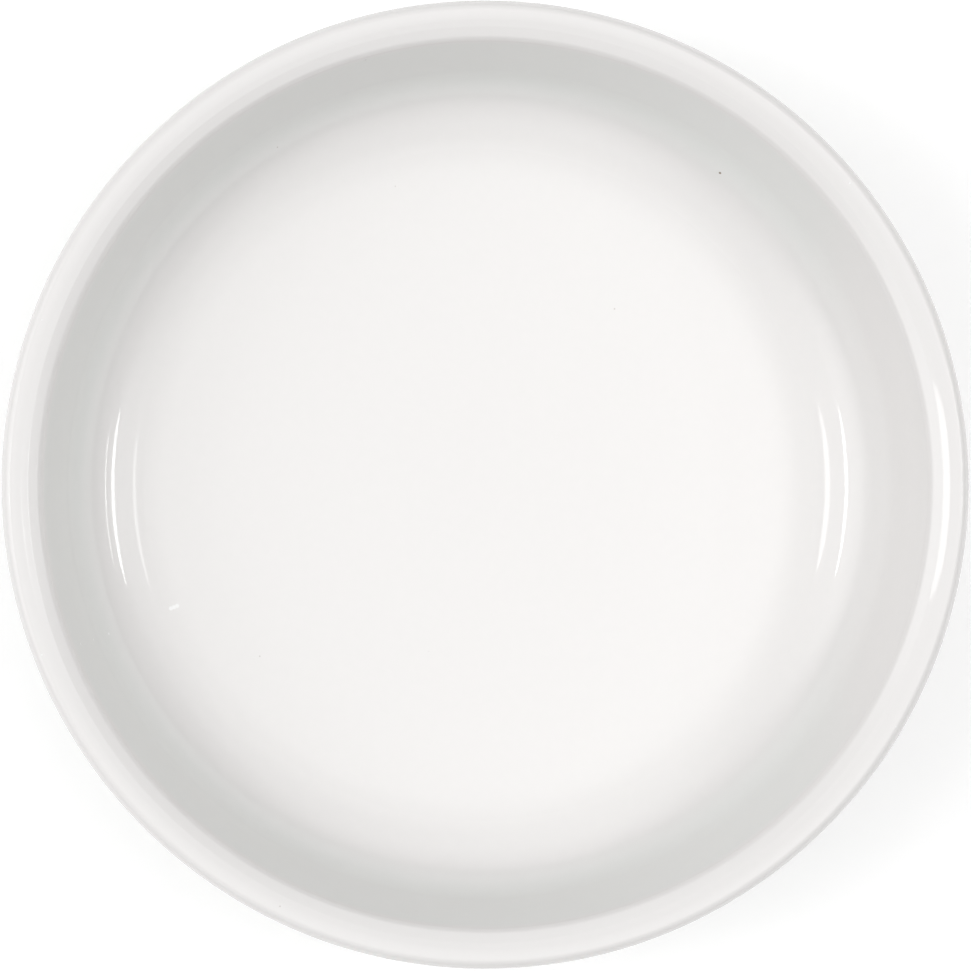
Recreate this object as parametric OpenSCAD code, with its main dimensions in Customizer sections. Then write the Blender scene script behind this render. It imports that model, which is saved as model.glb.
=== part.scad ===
// Round porcelain dish for soy sauce: a shallow well with a steep wall, a
// broad crowned lip and a foot ring underneath. The whole dish is turned
// about the Z axis and stands on z = 0. Lengths are in millimetres, angles
// in degrees, and every cross-section lies in the plane [radius, height].

/* [Overall size] */
// Diameter over the glazed lip
dish_d = 90; // [84:1:105]
// Height from the table to the top of the lip
dish_h = 20; // [17:0.5:24]

/* [Well] */
// Height of the glazed floor above the table
floor_z = 5.4; // [4.6:0.1:7]
// Radius of the bend from the level floor up to the faint well line
floor_bend_r = 14; // [8:0.5:18]
// Slope of the glaze at the well line
well_line_slope = 18; // [12:1:26]
// Straight run just outside the well line
well_line_run = 1.4; // [0.5:0.1:2.5]
// Radius of the bend from the well line up to the wall
wall_bend_r = 7.3; // [5:0.1:9]
// Slope of the straight wall from level
wall_slope = 73; // [64:1:80]

/* [Lip] */
// Radius of the lip's inner edge, where the wall ends
lip_edge_r = 1; // [0.6:0.1:2]
// Slope of the lip's face at its inner edge
lip_slope = 30; // [20:1:40]
// Radius of the crowned face across the lip
lip_face_r = 5; // [3.5:0.1:6.5]
// Slope at which the face runs into the outer rounding
crest_slope = 5; // [2:1:12]
// Radius of the lip's outer rounding
crest_r = 1.1; // [0.8:0.1:1.6]

/* [Outside] */
// How much steeper the outer wall is than the inner wall
wall_taper = 1; // [0:0.5:4]
// Radius of the bend from the outer wall to the underside
underside_bend_r = 12; // [9:0.5:14]
// Slope of the underside down to the foot ring
underside_slope = 12; // [8:1:16]

/* [Foot ring] */
// Distance from the lip's outer edge in to the middle of the standing face
foot_inset = 19.5; // [16:0.5:24]
// Width of the level standing face
foot_face_w = 2; // [1.2:0.1:3]
// Depth of the recess inside the foot ring
foot_h = 2; // [1.8:0.1:2.6]
// Slope of the foot ring's two sides away from upright
foot_taper = 5; // [0:1:10]
// Radius of the foot ring's lower edges
foot_edge_r = 0.5; // [0.3:0.1:0.7]
// Radius of the fillets at the foot ring's root
foot_root_r = 0.8; // [0.4:0.1:1]

/* [Glaze] */
// Thickness of the glaze
glaze_t = 0.25; // [0.15:0.05:0.35]
// Height of bare porcelain left at the foot ring
bare_h = 0.8; // [0.6:0.05:0.95]

/* [Hidden] */

// Sides of the circle that stands for the turned surfaces
$fn = 180;
// Largest turn between two points of a bend
bend_step = 4;
// Largest turn between two points of the glaze's rounded end
bead_step = 15;

// Headings along the cross-section: 0 runs outward, 90 runs up and 180 runs
// inward. The section is followed from the middle of the floor, over the lip
// and down to the foot ring, with the porcelain always on the right hand.
inward = -180;
quarter = -inward / 2;
outer_heading = wall_slope + wall_taper + inward;
under_heading = underside_slope + inward;
foot_out_heading = -quarter - foot_taper;
foot_in_heading = foot_taper - 3 * quarter;

function along(heading) = [cos(heading), sin(heading)];

// Step of one leg: straight where the heading stays the same, and otherwise
// a bend whose radius is the size
function leg_step(size, from, to) =
    from == to
    ? size * along(from)
    : sign(to - from) * size * [sin(to) - sin(from), cos(from) - cos(to)];

// Points [radius, height, heading] along one leg, without its first point
function leg_points(start, size, from, to) =
    let (count = max(1, ceil(abs(to - from) / bend_step)))
    [
        for (i = [1:count])
            let (heading = from + (to - from) * i / count)
            let (point = start + leg_step(size, from, heading))
            [point[0], point[1], heading]
    ];

// Points along a chain of legs, each leg being [size, heading at its end]
function chain_points(start, from, legs, i = 0) =
    i == len(legs)
    ? []
    : let (size = legs[i][0])
      let (to = legs[i][1])
      concat(
          leg_points(start, size, from, to),
          chain_points(start + leg_step(size, from, to), to, legs, i + 1)
      );

// The same points moved straight into the porcelain by a depth
function sunk(points, depth) =
    [for (p = points) [p[0] + depth * sin(p[2]), p[1] - depth * cos(p[2])]];

function backwards(points) = [for (i = [len(points) - 1:-1:0]) points[i]];

// Point at a height on the straight line through a point
function at_height(point, heading, height) =
    point + along(heading) * (height - point[1]) / sin(heading);

// Quarter round of the glaze's end about a centre on the porcelain
function bead(centre, from) =
    let (count = ceil(quarter / bead_step))
    [for (i = [0:count]) centre + glaze_t * along(from - quarter * i / count)];

// Lip, worked inward from the outermost edge of the glaze
crest_centre = [dish_d / 2 - crest_r, dish_h - crest_r];
crest_in = crest_centre + crest_r * along(quarter + crest_slope);
crest_out = crest_centre + crest_r * along(quarter + outer_heading);
lip_in = crest_in - leg_step(lip_face_r, lip_slope, crest_slope);
wall_top = lip_in - leg_step(lip_edge_r, wall_slope, lip_slope);

// Straight runs of the wall and the floor that close the well's section
well_bends = leg_step(floor_bend_r, 0, well_line_slope)
    + leg_step(well_line_run, well_line_slope, well_line_slope)
    + leg_step(wall_bend_r, well_line_slope, wall_slope);
wall_run = (wall_top[1] - floor_z - well_bends[1]) / sin(wall_slope);
floor_run = wall_top[0] - well_bends[0] - wall_run * cos(wall_slope);

// Foot ring, worked upward from the standing face on the bare porcelain
body_root_r = foot_root_r + glaze_t;
foot_edge_step = leg_step(foot_edge_r, inward, foot_in_heading);
foot_root_step = leg_step(body_root_r, foot_in_heading, inward);
foot_run = (foot_h + glaze_t - foot_edge_step[1] - foot_root_step[1]) / cos(foot_taper);
face_middle = dish_d / 2 - foot_inset;
face_out = [face_middle + foot_face_w / 2, 0];
face_in = [face_middle - foot_face_w / 2, 0];
side_out_low = face_out - leg_step(foot_edge_r, foot_out_heading, inward);
side_out_top = side_out_low - foot_run * along(foot_out_heading);
side_in_low = face_in + foot_edge_step;
side_in_top = side_in_low + foot_run * along(foot_in_heading);

// Straight runs of the outer wall and the underside that meet the foot ring
root_out = side_out_top + glaze_t * along(foot_out_heading + quarter)
    - leg_step(foot_root_r, under_heading, foot_out_heading);
outside_gap = root_out - crest_out
    - leg_step(underside_bend_r, outer_heading, under_heading);
spread = cross(along(outer_heading), along(under_heading));
outer_run = cross(outside_gap, along(under_heading)) / spread;
under_run = cross(along(outer_heading), outside_gap) / spread;

// Glazed section from the middle of the floor to the foot ring's outer side
coat_points = concat(
    [[0, floor_z, 0]],
    chain_points([0, floor_z], 0, [
        [floor_run, 0],
        [floor_bend_r, well_line_slope],
        [well_line_run, well_line_slope],
        [wall_bend_r, wall_slope],
        [wall_run, wall_slope],
        [lip_edge_r, lip_slope],
        [lip_face_r, crest_slope],
        [crest_r, 0],
        [crest_r, -quarter],
        [crest_r, outer_heading],
        [outer_run, outer_heading],
        [underside_bend_r, under_heading],
        [under_run, under_heading],
        [foot_root_r, foot_out_heading]
    ])
);

// Bare section round the foot ring, on the porcelain itself
foot_points = chain_points(side_out_top, foot_out_heading, [
    [foot_run, foot_out_heading],
    [foot_edge_r, inward],
    [foot_face_w, inward],
    [foot_edge_r, foot_in_heading]
]);

// Glazed fillet from the foot ring's inner side to the level recess
side_in_glazed = side_in_top + glaze_t * along(foot_in_heading + quarter);
recess_points = concat(
    [[side_in_glazed[0], side_in_glazed[1], foot_in_heading]],
    chain_points(side_in_glazed, foot_in_heading, [[foot_root_r, inward]])
);

// Centres of the glaze's two rounded ends, just above the bare porcelain
end_out = at_height(side_out_low, foot_out_heading, bare_h + glaze_t);
end_in = at_height(side_in_low, foot_in_heading, bare_h + glaze_t);

coat_back = sunk(coat_points, glaze_t);
recess_back = sunk(recess_points, glaze_t);

// Fired porcelain: floor, wall, lip and foot ring in one piece
module porcelain_body() {
    color([0.87, 0.85, 0.81])
        rotate_extrude()
            polygon(concat(
                coat_back,
                sunk(foot_points, 0),
                recess_back,
                [[0, foot_h + glaze_t]]
            ));
}

// Glaze over the well, the lip and the outside, down to the bare foot ring
module glaze_coat() {
    color([0.96, 0.96, 0.95])
        rotate_extrude()
            polygon(concat(
                sunk(coat_points, 0),
                bead(end_out, foot_out_heading + quarter),
                backwards(coat_back)
            ));
}

// Separate patch of glaze in the recess inside the foot ring
module base_glaze() {
    color([0.95, 0.95, 0.93])
        rotate_extrude()
            polygon(concat(
                bead(end_in, foot_in_heading - inward),
                sunk(recess_points, 0),
                [[0, foot_h], [0, foot_h + glaze_t]],
                backwards(recess_back)
            ));
}

porcelain_body();
glaze_coat();
base_glaze();
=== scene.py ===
import math

import bpy
from mathutils import Matrix, Vector


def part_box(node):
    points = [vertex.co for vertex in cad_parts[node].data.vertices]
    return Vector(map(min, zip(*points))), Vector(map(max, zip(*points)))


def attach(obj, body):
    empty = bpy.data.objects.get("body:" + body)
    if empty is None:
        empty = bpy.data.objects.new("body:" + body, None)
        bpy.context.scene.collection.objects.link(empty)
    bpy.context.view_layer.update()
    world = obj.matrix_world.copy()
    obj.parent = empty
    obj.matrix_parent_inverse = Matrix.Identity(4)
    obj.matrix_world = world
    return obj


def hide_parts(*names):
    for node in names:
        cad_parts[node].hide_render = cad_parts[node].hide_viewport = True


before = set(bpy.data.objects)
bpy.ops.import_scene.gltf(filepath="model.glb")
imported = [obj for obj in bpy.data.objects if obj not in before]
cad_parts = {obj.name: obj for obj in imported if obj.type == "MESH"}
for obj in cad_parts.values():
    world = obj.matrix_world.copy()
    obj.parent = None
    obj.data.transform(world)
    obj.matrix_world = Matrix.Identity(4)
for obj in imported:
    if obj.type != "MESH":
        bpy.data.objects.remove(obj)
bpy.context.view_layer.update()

# Porcelain body
# Floor, wall, lip and foot ring are one piece of white clay, turned under a
# template and fired. Only the ring that it stands on is left unglazed.
MM = 0.001
glaze_thickness = 0.25 * MM
lip_radius, _, lip_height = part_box("glaze_coat")[1]
recess_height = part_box("base_glaze")[1].z - glaze_thickness

# Well, from the floor to the top of the wall: bend radii, runs and slopes
floor_height = 5.4 * MM
floor_bend = 16.0 * MM
floor_bend_slope = 11.5
crease_bend = 0.8 * MM
band_slope = 8.5
band_run = 0.15 * MM
band_bend = 8.0 * MM
well_line_slope = 18
well_line_run = 1.0 * MM
wall_bend = 7.3 * MM
wall_slope = 73

# Lip, from its inner edge over the bevel and the crown to the outer rounding
lip_edge = 1.0 * MM
lip_slope = 27
lip_inner = 19.4 * MM
lip_inner_slope = 24.5
bevel_turn = 0.6 * MM
bevel_top_slope = 16.8
lip_bevel = 27.8 * MM
bevel_end_slope = 15.6
crown_slope = 12
lip_crown = 6.35 * MM
crest_slope = 5
crest = 1.1 * MM
rim_turn = 0.35 * MM
rim_turn_top_slope = 8
rim_turn_end_slope = 20.5

# Outer wall, underside and foot ring
outer_slope = 74
underside_bend = 12.0 * MM
underside_slope = 12
foot_inset = 19.5 * MM
standing_width = 2.0 * MM
foot_taper = 5
foot_edge = 0.5 * MM
foot_root = 0.8 * MM
bare_height = 0.8 * MM

# Headings in the section: 0 runs outward and 90 runs up
quarter = 90
inward = -2 * quarter
outer_heading = outer_slope + inward
under_heading = underside_slope + inward
foot_out_heading = -quarter - foot_taper
foot_in_heading = foot_taper - 3 * quarter


def along(heading):
    """Unit step in the section along a heading."""
    return Vector((math.cos(math.radians(heading)), math.sin(math.radians(heading))))


def leg_step(size, start, end):
    """Step of a straight run, or of a bend whose radius is the size."""
    if start == end:
        return size * along(start)
    return math.copysign(size, end - start) * (along(end - quarter) - along(start - quarter))


def chain_step(start, legs):
    """Step from one end of a chain of [size, heading at its end] legs to the other."""
    step = Vector((0, 0))
    for size, end in legs:
        step += leg_step(size, start, end)
        start = end
    return step


def at_height(point, heading, height):
    """Point at a height on the straight line through a point."""
    return point + along(heading) * ((height - point.y) / along(heading).y)


well_legs = [
    (floor_bend, floor_bend_slope),
    (crease_bend, band_slope),
    (band_run, band_slope),
    (band_bend, well_line_slope),
    (well_line_run, well_line_slope),
    (wall_bend, wall_slope),
]
lip_legs = [
    (lip_inner, lip_inner_slope),
    (bevel_turn, bevel_top_slope),
    (lip_bevel, bevel_end_slope),
    (bevel_turn, crown_slope),
    (lip_crown, crest_slope),
]
rim_legs = [(crest, -rim_turn_top_slope), (rim_turn, -rim_turn_end_slope)]
to_outermost = chain_step(crest_slope, [*rim_legs, (crest, -quarter)]).x
rim_legs.append((crest, outer_heading))

# The lip is worked inward from its outer edge, and straight runs of the wall
# and the floor close the well
below_top = crest * (1 - along(crest_slope).x)
crest_in = Vector((lip_radius - to_outermost, lip_height - below_top))
crest_out = crest_in + chain_step(crest_slope, rim_legs)
wall_top = crest_in - chain_step(wall_slope, [(lip_edge, lip_slope), *lip_legs])
well_bends = chain_step(0, well_legs)
wall_run = (wall_top.y - floor_height - well_bends.y) / along(wall_slope).y
floor_run = wall_top.x - well_bends.x - wall_run * along(wall_slope).x

# The foot ring is worked upward from its standing face
foot_radius = lip_radius - foot_inset
body_root = foot_root + glaze_thickness
foot_edge_step = leg_step(foot_edge, inward, foot_in_heading)
foot_root_step = leg_step(body_root, foot_in_heading, inward)
foot_rise = recess_height + glaze_thickness - foot_edge_step.y - foot_root_step.y
foot_run = foot_rise / math.cos(math.radians(foot_taper))
face_out = Vector((foot_radius + standing_width / 2, 0))
face_in = Vector((foot_radius - standing_width / 2, 0))
side_out_low = face_out - leg_step(foot_edge, foot_out_heading, inward)
side_out_top = side_out_low - foot_run * along(foot_out_heading)
side_in_low = face_in + foot_edge_step
side_in_top = side_in_low + foot_run * along(foot_in_heading)

# Straight runs of the outer wall and the underside meet the foot ring
root_out = (
    side_out_top
    + glaze_thickness * along(foot_out_heading + quarter)
    - leg_step(foot_root, under_heading, foot_out_heading)
)
outside_gap = root_out - crest_out - leg_step(underside_bend, outer_heading, under_heading)
spread = along(outer_heading).cross(along(under_heading))
outer_run = outside_gap.cross(along(under_heading)) / spread
under_run = along(outer_heading).cross(outside_gap) / spread

floor_middle = Vector((0, floor_height))
dish_legs = [
    (floor_run, 0),
    *well_legs,
    (wall_run, wall_slope),
    (lip_edge, lip_slope),
    *lip_legs,
    *rim_legs,
    (outer_run, outer_heading),
    (underside_bend, under_heading),
    (under_run, under_heading),
    (foot_root, foot_out_heading),
]
foot_legs = [
    (foot_run, foot_out_heading),
    (foot_edge, inward),
    (standing_width, inward),
    (foot_edge, foot_in_heading),
]

# Fineness of the surface, which is coarser where the clay lies under glaze
sides = 300
turn_per_point = 2.5
hidden_turn_per_point = 8
run_per_point = 2.0 * MM
fewest_stops = 3


def corner(place, bend=0.0, turn=0.0, drift=0.0, per_point=turn_per_point):
    """Template point: place, bend radius, points round the bend, share of the glaze line's drift."""
    return place, bend, math.ceil(turn / per_point), drift


def section(point, heading, legs, depth=0.0):
    """Template points along the legs, sunk into the clay by a depth."""
    point = point + depth * along(heading - quarter)
    per_point = hidden_turn_per_point if depth else turn_per_point
    found = []
    for size, end in legs:
        turn = abs(end - heading)
        if turn:
            size += math.copysign(depth, end - heading)
            reach = size * math.tan(math.radians(turn) / 2)
            found.append(corner(point + reach * along(heading), size, turn, per_point=per_point))
        else:
            stops = max(math.ceil(size / run_per_point), fewest_stops)
            found += [corner(point + size * i / stops * along(heading)) for i in range(1, stops)]
        point = point + leg_step(size, heading, end)
        heading = end
    return found


def add_node(tree, kind, sockets=None, **settings):
    """New node of a tree, with its settings and its sockets' values or sources."""
    node = tree.nodes.new(kind)
    for name, value in settings.items():
        setattr(node, name, value)
    for key, value in (sockets or {}).items():
        if isinstance(value, bpy.types.NodeSocket):
            tree.links.new(value, node.inputs[key])
        else:
            node.inputs[key].default_value = value
    return node


def math_node(tree, operation, first, second=0.0):
    """Output of a math node on two values or sources."""
    return add_node(tree, "ShaderNodeMath", {0: first, 1: second}, operation=operation).outputs[0]


def noise_from(tree, size, seed, place=None, detail=2.0):
    """Noise from 0 to 1 whose features are about the size across."""
    scale = math_node(tree, "DIVIDE", 1.0, size)
    sockets = {"W": seed, "Scale": scale, "Detail": detail}
    if place:
        sockets["Vector"] = place
    return add_node(tree, "ShaderNodeTexNoise", sockets, noise_dimensions="4D").outputs["Fac"]


def waved(tree, noise, height):
    """Rise and fall that follow a noise, half of the height each way."""
    return math_node(tree, "MULTIPLY", math_node(tree, "SUBTRACT", noise, 0.5), height)


weld_distance = 0.001 * MM


def wheel_tree():
    """Geometry Nodes that round a template's corners and turn it about Z."""
    tree = bpy.data.node_groups.new("turn_on_wheel", "GeometryNodeTree")
    for name, kind in (
        ("Template", "NodeSocketGeometry"),
        ("Sides", "NodeSocketInt"),
        ("Ripple Height", "NodeSocketFloat"),
        ("Ripple Size", "NodeSocketFloat"),
        ("Drift Height", "NodeSocketFloat"),
        ("Drift Size", "NodeSocketFloat"),
        ("Seed", "NodeSocketFloat"),
        ("Finish", "NodeSocketMaterial"),
    ):
        tree.interface.new_socket(name, in_out="INPUT", socket_type=kind)
    tree.interface.new_socket("Piece", in_out="OUTPUT", socket_type="NodeSocketGeometry")
    given = tree.nodes.new("NodeGroupInput").outputs

    def noted(name, kind="FLOAT"):
        """Value that the template's points hold under a name."""
        node = add_node(tree, "GeometryNodeInputNamedAttribute", {"Name": name}, data_type=kind)
        return node.outputs["Attribute"]

    outline = add_node(tree, "GeometryNodeMeshToCurve", {"Mesh": given["Template"]})
    rounded = add_node(
        tree, "GeometryNodeFilletCurve",
        {"Curve": outline.outputs["Curve"], "Count": noted("bend_points", "INT"), "Radius": noted("bend")},
        mode="POLY",
    ).outputs["Curve"]
    size = add_node(tree, "GeometryNodeAttributeDomainSize", {"Geometry": rounded}, component="CURVE")
    rows = math_node(tree, "ADD", given["Sides"], 1)
    grid = add_node(
        tree, "GeometryNodeMeshGrid", {"Vertices X": size.outputs["Point Count"], "Vertices Y": rows},
    )
    index = add_node(tree, "GeometryNodeInputIndex").outputs["Index"]
    stop = math_node(tree, "FLOOR", math_node(tree, "DIVIDE", math_node(tree, "ADD", index, 0.5), rows))
    side = math_node(tree, "SUBTRACT", index, math_node(tree, "MULTIPLY", stop, rows))
    turn = math_node(tree, "MULTIPLY", math_node(tree, "DIVIDE", side, given["Sides"]), math.tau)

    def drawn(value, kind):
        """Value at the rounded template's point that a row of the grid follows."""
        node = add_node(
            tree, "GeometryNodeSampleIndex", {"Geometry": rounded, "Value": value, "Index": stop},
            data_type=kind, domain="POINT",
        )
        return node.outputs["Value"]

    position = add_node(tree, "GeometryNodeInputPosition").outputs["Position"]
    turned = add_node(
        tree, "ShaderNodeVectorRotate",
        {"Vector": drawn(position, "FLOAT_VECTOR"), "Angle": turn}, rotation_type="Z_AXIS",
    ).outputs["Vector"]
    wander = waved(tree, noise_from(tree, given["Drift Size"], given["Seed"], turned), given["Drift Height"])
    rise = math_node(tree, "MULTIPLY", wander, drawn(noted("drift"), "FLOAT"))
    drift = add_node(tree, "ShaderNodeCombineXYZ", {"Z": rise}).outputs["Vector"]
    shaped = add_node(
        tree, "GeometryNodeSetPosition",
        {"Geometry": grid.outputs["Mesh"], "Position": turned, "Offset": drift},
    )
    welded = add_node(
        tree, "GeometryNodeMergeByDistance",
        {"Geometry": shaped.outputs["Geometry"], "Distance": weld_distance},
    )
    lift = waved(tree, noise_from(tree, given["Ripple Size"], given["Seed"]), given["Ripple Height"])
    normal = add_node(tree, "GeometryNodeInputNormal").outputs["Normal"]
    shift = add_node(tree, "ShaderNodeVectorMath", {0: normal, "Scale": lift}, operation="SCALE")
    rippled = add_node(
        tree, "GeometryNodeSetPosition",
        {"Geometry": welded.outputs["Geometry"], "Offset": shift.outputs["Vector"]},
    )
    smooth = add_node(tree, "GeometryNodeSetShadeSmooth", {"Geometry": rippled.outputs["Geometry"]})
    real = add_node(tree, "GeometryNodeRealizeInstances", {"Geometry": smooth.outputs["Geometry"]})
    finished = add_node(
        tree, "GeometryNodeSetMaterial", {"Geometry": real.outputs["Geometry"], "Material": given["Finish"]},
    )
    add_node(tree, "NodeGroupOutput", {"Piece": finished.outputs["Geometry"]})
    return tree


wheel = wheel_tree()

# What a template point holds besides its place
point_notes = ("bend", "FLOAT"), ("bend_points", "INT"), ("drift", "FLOAT")


def turned_piece(name, points, finish, **inputs):
    """Piece turned on the wheel from the template points of its section."""
    template = bpy.data.meshes.new(name + "_template")
    edges = [(i, i + 1) for i in range(len(points) - 1)]
    template.from_pydata([(place.x, 0, place.y) for place, *rest in points], edges, [])
    for column, (label, kind) in enumerate(point_notes, 1):
        values = template.attributes.new(label, kind, "POINT").data
        for value, point in zip(values, points):
            value.value = point[column]
    draft = bpy.data.objects.new(name + "_draft", template)
    bpy.context.scene.collection.objects.link(draft)
    turning = draft.modifiers.new("wheel", "NODES")
    turning.node_group = wheel
    inputs = {"Sides": sides, "Finish": finish, **inputs}
    for item in wheel.interface.items_tree:
        label = item.name.replace(" ", "_")
        if label in inputs:
            turning[item.identifier] = inputs[label]
    bpy.context.view_layer.update()
    depsgraph = bpy.context.evaluated_depsgraph_get()
    mesh = bpy.data.meshes.new_from_object(draft.evaluated_get(depsgraph))
    mesh.materials.pop(index=0)  # the grid's own empty slot
    draft.modifiers.remove(turning)
    bpy.data.objects.remove(draft)
    mesh.name = name
    piece = bpy.data.objects.new(name, mesh)
    bpy.context.scene.collection.objects.link(piece)
    return piece


def new_finish(name):
    """Empty material with its tree, its shader and the place on the piece."""
    material = bpy.data.materials.new(name)
    material.use_nodes = True
    tree = material.node_tree
    place = add_node(tree, "ShaderNodeTexCoord").outputs["Object"]
    return material, tree, tree.nodes["Principled BSDF"], place


def stepped(tree, value, low, high, to_low=0.0, to_high=1.0):
    """Value brought smoothly from one range to another."""
    node = add_node(
        tree, "ShaderNodeMapRange",
        {"Value": value, "From Min": low, "From Max": high, "To Min": to_low, "To Max": to_high},
        interpolation_type="SMOOTHSTEP",
    )
    return node.outputs["Result"]


def mixed(tree, share, first, second):
    """Colour between two colours."""
    return add_node(tree, "ShaderNodeMix", {0: share, 6: first, 7: second}, data_type="RGBA").outputs[2]


def bump(tree, shader, height, depth=1.0):
    """Relief of a height, times a depth."""
    node = add_node(tree, "ShaderNodeBump", {"Height": height, "Distance": depth, "Strength": 1.0})
    tree.links.new(node.outputs["Normal"], shader.inputs["Normal"])


def radius_and_height(tree, place):
    """Distance from the dish's axis, and height."""
    flat = add_node(tree, "ShaderNodeVectorMath", {0: place, 1: (1, 1, 0)}, operation="MULTIPLY")
    length = add_node(tree, "ShaderNodeVectorMath", {0: flat.outputs["Vector"]}, operation="LENGTH")
    parts = add_node(tree, "ShaderNodeSeparateXYZ", {0: place})
    return length.outputs["Value"], parts.outputs["Z"]


# Colours of the bare clay and sizes of its patterns. Levels are the stretch of
# a pattern's noise that counts, and shares are how strongly it then shows.
fired_clay = 0.80, 0.785, 0.74, 1
shaded_clay = 0.72, 0.70, 0.65, 1
flashed_clay = 0.70, 0.60, 0.47, 1
rubbed_clay = 0.46, 0.45, 0.43, 1
cloud_size = 6 * MM
cloud_levels = 0.35, 0.65
grain_size = 0.12 * MM
grain_detail = 3.0
grain_levels = 0.2, 0.8
grain_share = 0.25
clay_roughness = 0.55, 0.8
clay_relief = 0.02 * MM
flash_heights = bare_height - 0.35 * MM, bare_height + 0.1 * MM
ring_size = 0.09 * MM
ring_levels = 0.3, 0.7
rubbed_patch_size = 3 * MM
rubbed_patch_levels = 0.4, 0.62
rubbed_heights = 0.12 * MM, 0.01 * MM
rubbed_shares = 0.1, 0.7


def bare_finish():
    """Fired clay: fine matt grain, flashed warm at the glaze, ground grey where it stands."""
    material, tree, shader, place = new_finish("fired_clay")
    radius, height = radius_and_height(tree, place)
    clouds = noise_from(tree, cloud_size, seed=2, place=place)
    grain = noise_from(tree, grain_size, seed=5, place=place, detail=grain_detail)
    colour = mixed(tree, stepped(tree, clouds, *cloud_levels), fired_clay, shaded_clay)
    colour = mixed(tree, math_node(tree, "MULTIPLY", grain, grain_share), colour, shaded_clay)
    warm = stepped(tree, height, *flash_heights)
    colour = mixed(tree, math_node(tree, "MULTIPLY", warm, clouds), colour, flashed_clay)
    rings = add_node(
        tree, "ShaderNodeTexNoise", {"W": math_node(tree, "DIVIDE", radius, ring_size), "Scale": 1.0},
        noise_dimensions="1D",
    ).outputs["Fac"]
    patches = noise_from(tree, rubbed_patch_size, seed=9, place=place)
    patches = stepped(tree, patches, *rubbed_patch_levels)
    stood_on = math_node(tree, "MULTIPLY", stepped(tree, height, *rubbed_heights), patches)
    wear = math_node(tree, "MULTIPLY", stood_on, stepped(tree, rings, *ring_levels, *rubbed_shares))
    tree.links.new(mixed(tree, wear, colour, rubbed_clay), shader.inputs["Base Color"])
    tree.links.new(stepped(tree, grain, *grain_levels, *clay_roughness), shader.inputs["Roughness"])
    ground = math_node(tree, "ADD", grain, math_node(tree, "MULTIPLY", rings, stood_on))
    bump(tree, shader, ground, clay_relief)
    return material


coat_back = section(floor_middle, 0, dish_legs, glaze_thickness)
side_in_glazed = side_in_top + glaze_thickness * along(foot_in_heading + quarter)
recess_legs = [(foot_root, inward)]
recess_back = section(side_in_glazed, foot_in_heading, recess_legs, glaze_thickness)
clay_floor = Vector((0, floor_height - glaze_thickness))
clay_recess = Vector((0, recess_height + glaze_thickness))
body_points = (
    [corner(clay_floor)]
    + coat_back
    + section(side_out_top, foot_out_heading, foot_legs)
    + recess_back
    + [corner(clay_recess)]
)
fired_body = turned_piece(
    "fired_body", body_points, bare_finish(), Ripple_Height=0.01 * MM, Ripple_Size=1.0 * MM, Seed=3.0,
)
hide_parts("porcelain_body")
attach(fired_body, "root")

# Glaze coat
# One layer of white gloss glass over the well, the lip and the outside. It
# is melted on in the second firing and rolls to a stop above the bare foot.
drift_height = 0.35 * MM
drift_size = 5 * MM

# Colours of the glaze, and sizes, levels and shares of its patterns
thin_glaze = 0.877, 0.861, 0.851, 1
pooled_and_painted_tint_glaze = 0.850, 0.8585, 0.8405, 1
mottled_glaze = 0.74, 0.74, 0.73, 1
iron_brown = 0.30, 0.24, 0.19, 1
# Painted glint colour: near white painted on the pimples in place of the lamps' glints
glint_paint_white = 0.99, 0.99, 0.985, 1
glaze_ior = 1.5
glaze_roughness = 0.03, 0.07
pooled_radii = 35.8 * MM, 38.4 * MM
pooled_heights = 18.8 * MM, 17.6 * MM
# Painted light tint: toward +X the pooled green fades out between these two places, standing in for light of
# another colour on that wall
painted_tint_across = 37 * MM, 29 * MM
glaze_cloud_size = 11 * MM
glaze_cloud_levels = 0.25, 0.75
pooled_shares = 0.8, 1.0
mottle_size = 0.9 * MM
mottle_detail = 3.0
mottle_levels = 0.25, 0.75
mottle_shares = 0.0, 0.05
mottle_relief = 0.002 * MM
smear_size = 7 * MM
smear_levels = 0.3, 0.7
fleck_spacing = 1.6 * MM
fleckless_share = 0.975
fleck_radius_shares = 0.07, 0.03
fleck_share = 0.35

# Spots: radius from the axis in mm, azimuth, and the spot's own radius in mm
iron_speck = 37.13, 52.5, 0.16
# Pimples: each is raised a little, and painted near white as a painted glint
pimples_painted_as_glints = (
    (30.86, -158.2, 0.26), (31.17, -158.2, 0.26), (31.48, -158.2, 0.26), (37.78, -158.2, 0.16),
    (39.26, -158.3, 0.16), (40.47, -158.5, 0.16), (44.15, -159.1, 0.1), (43.96, 159.7, 0.1),
    (43.92, 39.7, 0.1), (44.27, -30.6, 0.1),
)
pimple_height = 0.012 * MM


def face_height(radius):
    """Height of the dish's upper face at a radius."""
    point, heading = floor_middle, 0
    for size, end in dish_legs:
        step = leg_step(size, heading, end)
        if point.x + step.x < radius:
            point, heading = point + step, end
        elif heading == end:
            return point.y + step.y * (radius - point.x) / step.x
        else:
            sine = along(heading).y + (radius - point.x) / math.copysign(size, end - heading)
            return point.y + leg_step(size, heading, math.degrees(math.asin(sine))).y


def spot_on_face(tree, place, spot):
    """Share of a round spot on the dish's upper face, full in its inner half."""
    radius, turn, reach = spot[0] * MM, math.radians(spot[1]), spot[2] * MM
    middle = (radius * math.cos(turn), radius * math.sin(turn), face_height(radius))
    away = add_node(tree, "ShaderNodeVectorMath", {0: place, 1: middle}, operation="DISTANCE")
    return stepped(tree, away.outputs["Value"], reach, reach / 2)


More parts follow.
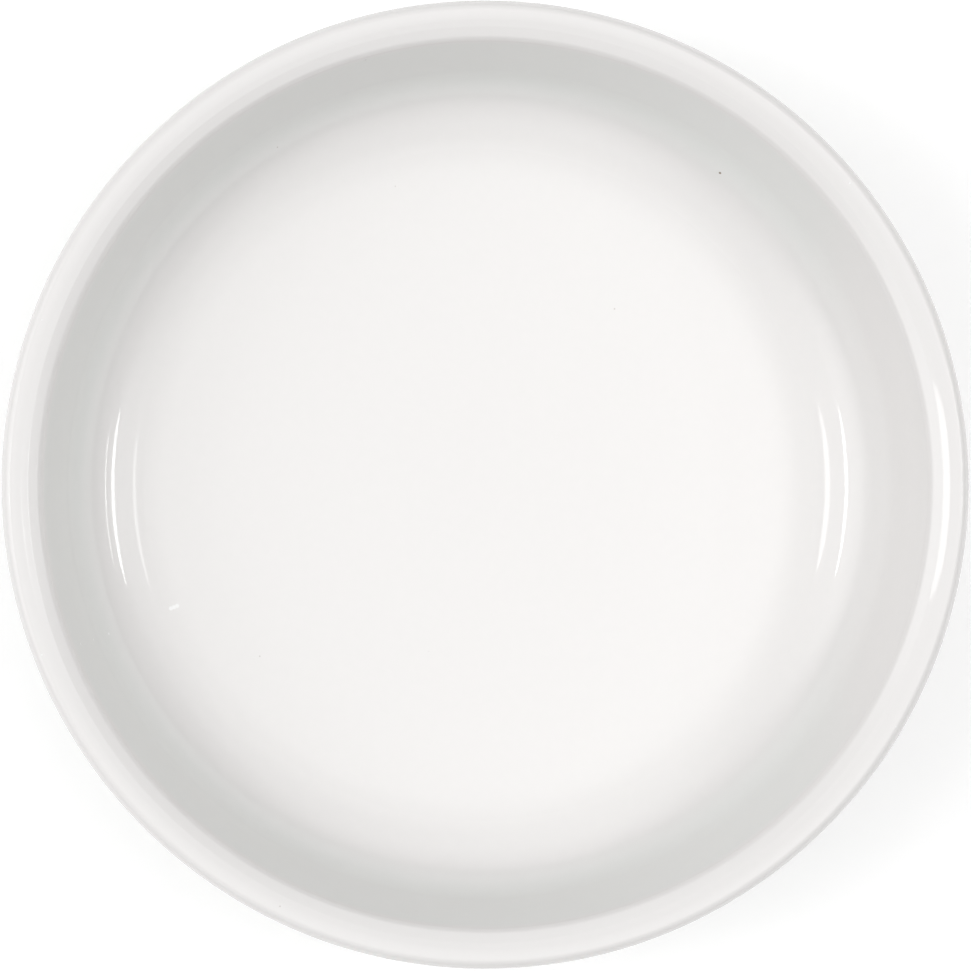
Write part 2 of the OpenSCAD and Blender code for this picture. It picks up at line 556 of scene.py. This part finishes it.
def scattered_flecks(tree, place):
    """Share of small round flecks, which only a few cells of a scatter have."""
    cells = add_node(
        tree, "ShaderNodeTexVoronoi", {"Vector": place, "Scale": 1 / fleck_spacing}, feature="F1",
    )
    chance = add_node(tree, "ShaderNodeSeparateColor", {0: cells.outputs["Color"]}).outputs["Red"]
    chosen = math_node(tree, "GREATER_THAN", chance, fleckless_share)
    fleck = stepped(tree, cells.outputs["Distance"], *fleck_radius_shares)
    return math_node(tree, "MULTIPLY", chosen, fleck)


def glaze_finish():
    """Clear gloss over white: faintly green where it pools, the green left off the +X side as a painted
    light tint, with flecks, and pimples painted near white as glints.
    """
    material, tree, shader, place = new_finish("gloss_glaze")
    radius, height = radius_and_height(tree, place)
    across = add_node(tree, "ShaderNodeSeparateXYZ", {0: place}).outputs["X"]
    clouds = noise_from(tree, glaze_cloud_size, seed=4, place=place)
    mottle = noise_from(tree, mottle_size, seed=8, place=place, detail=mottle_detail)
    pooled_and_painted_tint = math_node(
        tree, "MULTIPLY", stepped(tree, radius, *pooled_radii), stepped(tree, height, *pooled_heights),
    )
    uneven = stepped(tree, clouds, *glaze_cloud_levels, *pooled_shares)
    pooled_and_painted_tint = math_node(tree, "MULTIPLY", pooled_and_painted_tint, uneven)
    # The green is real pooling at the wall's foot, but leaving it off the +X side is a painted light tint
    pooled_and_painted_tint = math_node(tree, "MULTIPLY", pooled_and_painted_tint, stepped(tree, across, *painted_tint_across))
    colour = mixed(tree, pooled_and_painted_tint, thin_glaze, pooled_and_painted_tint_glaze)
    colour = mixed(tree, stepped(tree, mottle, *mottle_levels, *mottle_shares), colour, mottled_glaze)
    flecks = scattered_flecks(tree, place)
    speck = spot_on_face(tree, place, iron_speck)
    marks = math_node(tree, "MAXIMUM", math_node(tree, "MULTIPLY", flecks, fleck_share), speck)
    colour = mixed(tree, marks, colour, iron_brown)
    pimples_and_painted_glints = 0.0
    for pimple_and_glint in pimples_painted_as_glints:
        pimples_and_painted_glints = math_node(tree, "MAXIMUM", pimples_and_painted_glints, spot_on_face(tree, place, pimple_and_glint))
    # Painted glints: the pimples are painted near white in place of the lamps' glints on them; their small
    # rise is real relief
    tree.links.new(mixed(tree, pimples_and_painted_glints, colour, glint_paint_white), shader.inputs["Base Color"])
    smear = noise_from(tree, smear_size, seed=12, place=place)
    tree.links.new(stepped(tree, smear, *smear_levels, *glaze_roughness), shader.inputs["Roughness"])
    shader.inputs["IOR"].default_value = glaze_ior
    grain = math_node(tree, "MULTIPLY", math_node(tree, "SUBTRACT", mottle, flecks), mottle_relief)
    relief = math_node(tree, "ADD", grain, math_node(tree, "MULTIPLY", pimples_and_painted_glints, pimple_height))
    bump(tree, shader, relief)
    return material


white_glaze = glaze_finish()


def glaze_end(centre, heading):
    """Corners of the rounded end of the glaze, from its face to the clay."""
    face = centre + glaze_thickness * along(heading + quarter)
    return [
        corner(face + glaze_thickness * along(heading), glaze_thickness, quarter, 1.0),
        corner(centre + glaze_thickness * along(heading), drift=1.0),
    ]


end_out = at_height(side_out_low, foot_out_heading, bare_height + glaze_thickness)
coat_points = (
    [corner(floor_middle)]
    + section(floor_middle, 0, dish_legs)
    + glaze_end(end_out, foot_out_heading)
    + coat_back[::-1]
    + [corner(clay_floor)]
)
glossy_coat = turned_piece(
    "glossy_coat", coat_points, white_glaze, Ripple_Height=0.035 * MM, Ripple_Size=14 * MM,
    Drift_Height=drift_height, Drift_Size=drift_size, Seed=7.0,
)
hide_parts("glaze_coat")
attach(glossy_coat, "root")

# Glaze in the recess
# The same glaze, poured into the shallow recess that the foot ring encloses.
# It clings to the ring's inner side and stops above the bare standing face.
end_in = at_height(side_in_low, foot_in_heading, bare_height + glaze_thickness)
turned_end = end_in - glaze_thickness * along(foot_in_heading)
recess_points = (
    [corner(turned_end, drift=1.0),
     corner(turned_end + glaze_thickness * along(foot_in_heading + quarter), glaze_thickness, quarter, 1.0)]
    + section(side_in_glazed, foot_in_heading, recess_legs)
    + [corner(Vector((0, recess_height))), corner(clay_recess)]
    + recess_back[::-1]
    + [corner(turned_end, drift=1.0)]
)
recess_glaze = turned_piece(
    "recess_glaze", recess_points, white_glaze, Ripple_Height=0.04 * MM, Ripple_Size=9 * MM,
    Drift_Height=drift_height, Drift_Size=drift_size, Seed=11.0,
)
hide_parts("base_glaze")
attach(recess_glaze, "root")

# Floor and light
# The dish stands on a pale floor in a tent of soft light made of ten wide
# glows. Two lamps at its left and three at its right draw the thin highlights.
lamp_distance = 1000 * MM

# Lamps: azimuth, angle from upright, width and height as seen from the dish,
# all in degrees, and radiance
lamps = {
    "left_sharp": (179, 37.2, 17.5, 4.6, 9.0),
    "left_soft": (179, 24.2, 12.4, 6.4, 3.6),
    "right_sharp": (2, 42.4, 17.4, 5.2, 9.0),
    "right_thin": (2, 54.4, 17.4, 1.3, 10.0),
    "right_soft": (4, 25.5, 9.8, 4.2, 2.9),
}

# Glows: azimuth, angle from upright, angles from the middle at which the glow
# is full and gone, all in degrees, and radiance
glows = {
    "low_tent": (0, 0, 62, 78, 0.38),
    "high_tent": (0, 0, 44, 60, 0.08),
    "overhead": (0, 0, 8, 20, 0.53),
    "left_low": (180, 58, 0, 34, 1.05),
    "left_high": (180, 40, 0, 34, 0.81),
    "right": (0, 32, 0, 16, 0.68),
    "right_low": (0, 50, 0, 16, 0.47),
    "right_high": (0, 22, 0, 34, 0.88),
    "back": (90, 45, 0, 34, 0.41),
    "front": (270, 45, 0, 34, 0.21),
}


def direction_to(azimuth, from_upright):
    """Unit step from the dish toward a lamp, a glow or the camera."""
    turn, tip = math.radians(azimuth), math.radians(from_upright)
    return Vector((math.sin(tip) * math.cos(turn), math.sin(tip) * math.sin(turn), math.cos(tip)))


def facing(place, away, upright):
    """Matrix of a lamp or camera at a place, turned to look against a direction."""
    level = upright.cross(away).normalized()
    axes = Matrix((level, away.cross(level), away)).transposed()
    return Matrix.Translation(place) @ axes.to_4x4()


def soft_lamp(name, azimuth, from_upright, wide, tall, radiance):
    """Elliptical lamp that faces the dish and shines with a radiance."""
    data = bpy.data.lights.new(name, "AREA")
    data.shape = "ELLIPSE"
    data.size = 2 * lamp_distance * math.tan(math.radians(wide / 2))
    data.size_y = 2 * lamp_distance * math.tan(math.radians(tall / 2))
    area = math.pi / 4 * data.size * data.size_y
    data.energy = radiance * math.pi * area
    lamp = bpy.data.objects.new(name, data)
    bpy.context.scene.collection.objects.link(lamp)
    away = direction_to(azimuth, from_upright)
    lamp.matrix_world = facing(away * lamp_distance, away, Vector((0, 0, 1)))


for name, lamp in lamps.items():
    soft_lamp(name, *lamp)

tent = bpy.data.worlds.new("light_tent")
tent.use_nodes = True
sky = tent.node_tree
direction = add_node(sky, "ShaderNodeTexCoord").outputs["Generated"]
strength = 0.0
for azimuth, from_upright, full, gone, radiance in glows.values():
    toward = add_node(
        sky, "ShaderNodeVectorMath",
        {0: direction, 1: direction_to(azimuth, from_upright)}, operation="DOT_PRODUCT",
    ).outputs["Value"]
    faint, bright = math.cos(math.radians(gone)), math.cos(math.radians(full))
    strength = math_node(sky, "ADD", strength, stepped(sky, toward, faint, bright, 0.0, radiance))
background = sky.nodes["Background"]
background.inputs["Color"].default_value = (1, 1, 1, 1)
sky.links.new(strength, background.inputs["Strength"])
bpy.context.scene.world = tent

floor_reach = 2000 * MM
floor_drop = 0.01 * MM
floor_white = 0.97, 0.97, 0.97, 1
floor_roughness = 0.9
floor_glow = 0.16
floor_mesh = bpy.data.meshes.new("pale_floor")
floor_corners = [
    (x * floor_reach, y * floor_reach, -floor_drop) for x, y in ((-1, -1), (1, -1), (1, 1), (-1, 1))
]
floor_mesh.from_pydata(floor_corners, [], [(0, 1, 2, 3)])
pale_floor = bpy.data.objects.new("pale_floor", floor_mesh)
bpy.context.scene.collection.objects.link(pale_floor)
floor_paint = bpy.data.materials.new("floor_paint")
floor_paint.use_nodes = True
floor_shader = floor_paint.node_tree.nodes["Principled BSDF"]
floor_shader.inputs["Base Color"].default_value = floor_white
floor_shader.inputs["Roughness"].default_value = floor_roughness
floor_shader.inputs["Emission Color"].default_value = (1, 1, 1, 1)
floor_shader.inputs["Emission Strength"].default_value = floor_glow
floor_mesh.materials.append(floor_paint)

# Camera
# It looks down into the well from arm's length, a touch from the left, so the
# right wall shows a little more than the left one. The frame just holds the lip.
camera_distance = 700 * MM
camera_azimuth = 180
camera_tilt = 2.7
half_frame = 45.055 * MM
frame_shift = Vector((-0.145 * MM, -0.08 * MM, 0))
sensor_width = 36
camera_data = bpy.data.cameras.new("camera")
camera_data.sensor_width = sensor_width
camera_data.lens = sensor_width / 2 * camera_distance / half_frame
camera_data.clip_start = 10 * MM
camera = bpy.data.objects.new("camera", camera_data)
bpy.context.scene.collection.objects.link(camera)
aim = direction_to(camera_azimuth, camera_tilt)
target = Vector((0, 0, lip_height)) + frame_shift
camera.matrix_world = facing(target + camera_distance * aim, aim, Vector((0, 1, 0)))
bpy.context.scene.camera = camera
bpy.context.scene.view_settings.view_transform = "Standard"
